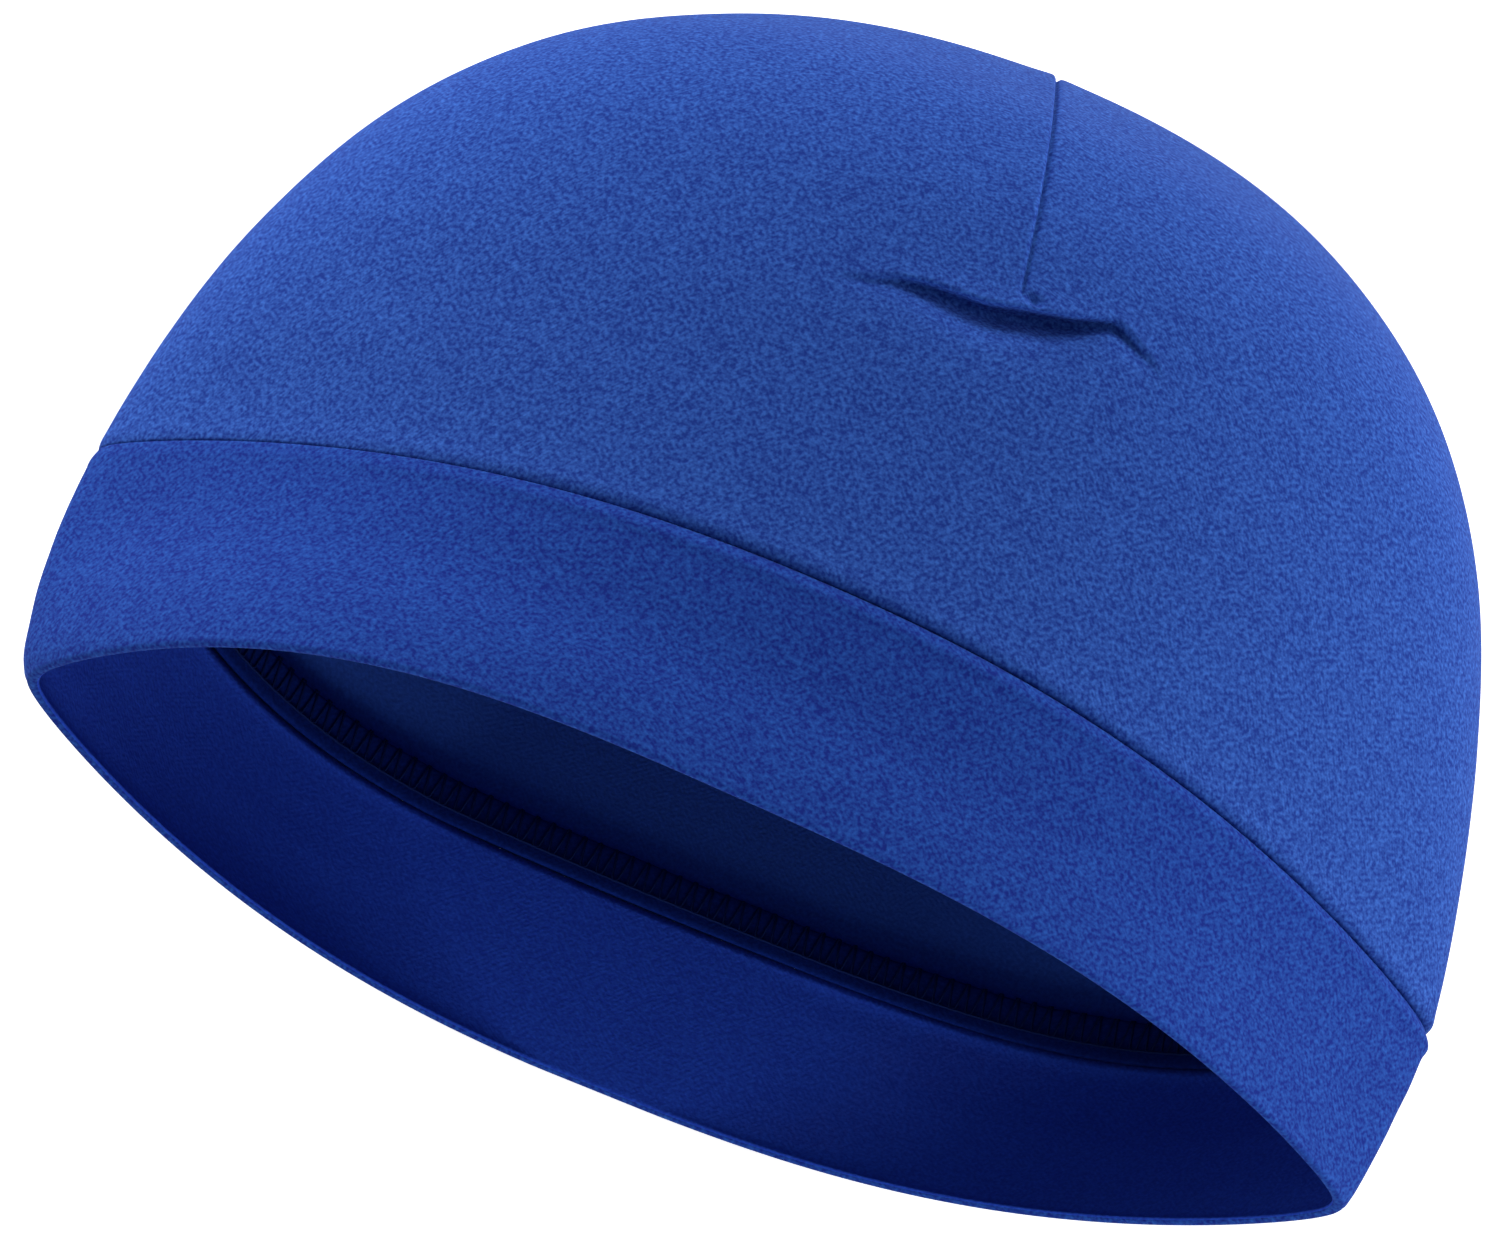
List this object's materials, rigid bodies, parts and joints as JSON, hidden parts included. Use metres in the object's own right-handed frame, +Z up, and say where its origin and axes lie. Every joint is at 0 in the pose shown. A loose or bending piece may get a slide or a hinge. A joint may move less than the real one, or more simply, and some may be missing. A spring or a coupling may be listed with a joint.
{
  "type": "skull cap",
  "caption": "Close-fitting stretch jersey skull cap with a dome crown closed by four darts and a double turned band, lying on its back with the opening spread.",
  "frame": {"origin": "under the middle of the cap's bounding box, on the surface that it lies on", "axes": "+X across the opening to the wearer's side, +Y from the rim to the crown's top, +Z up from the back of the cap to its front"},
  "size_m": [0.2036, 0.1552, 0.1001],
  "materials": {
    "jersey": "royal blue brushed polyester and elastane jersey, matt with a soft nap",
    "overlock": "cut jersey edges bound with dark navy overlock thread"
  },
  "bodies": {
    "root": {"crown": "jersey", "band": "jersey", "seam_allowance": "overlock"}
  },
  "joints": []
}
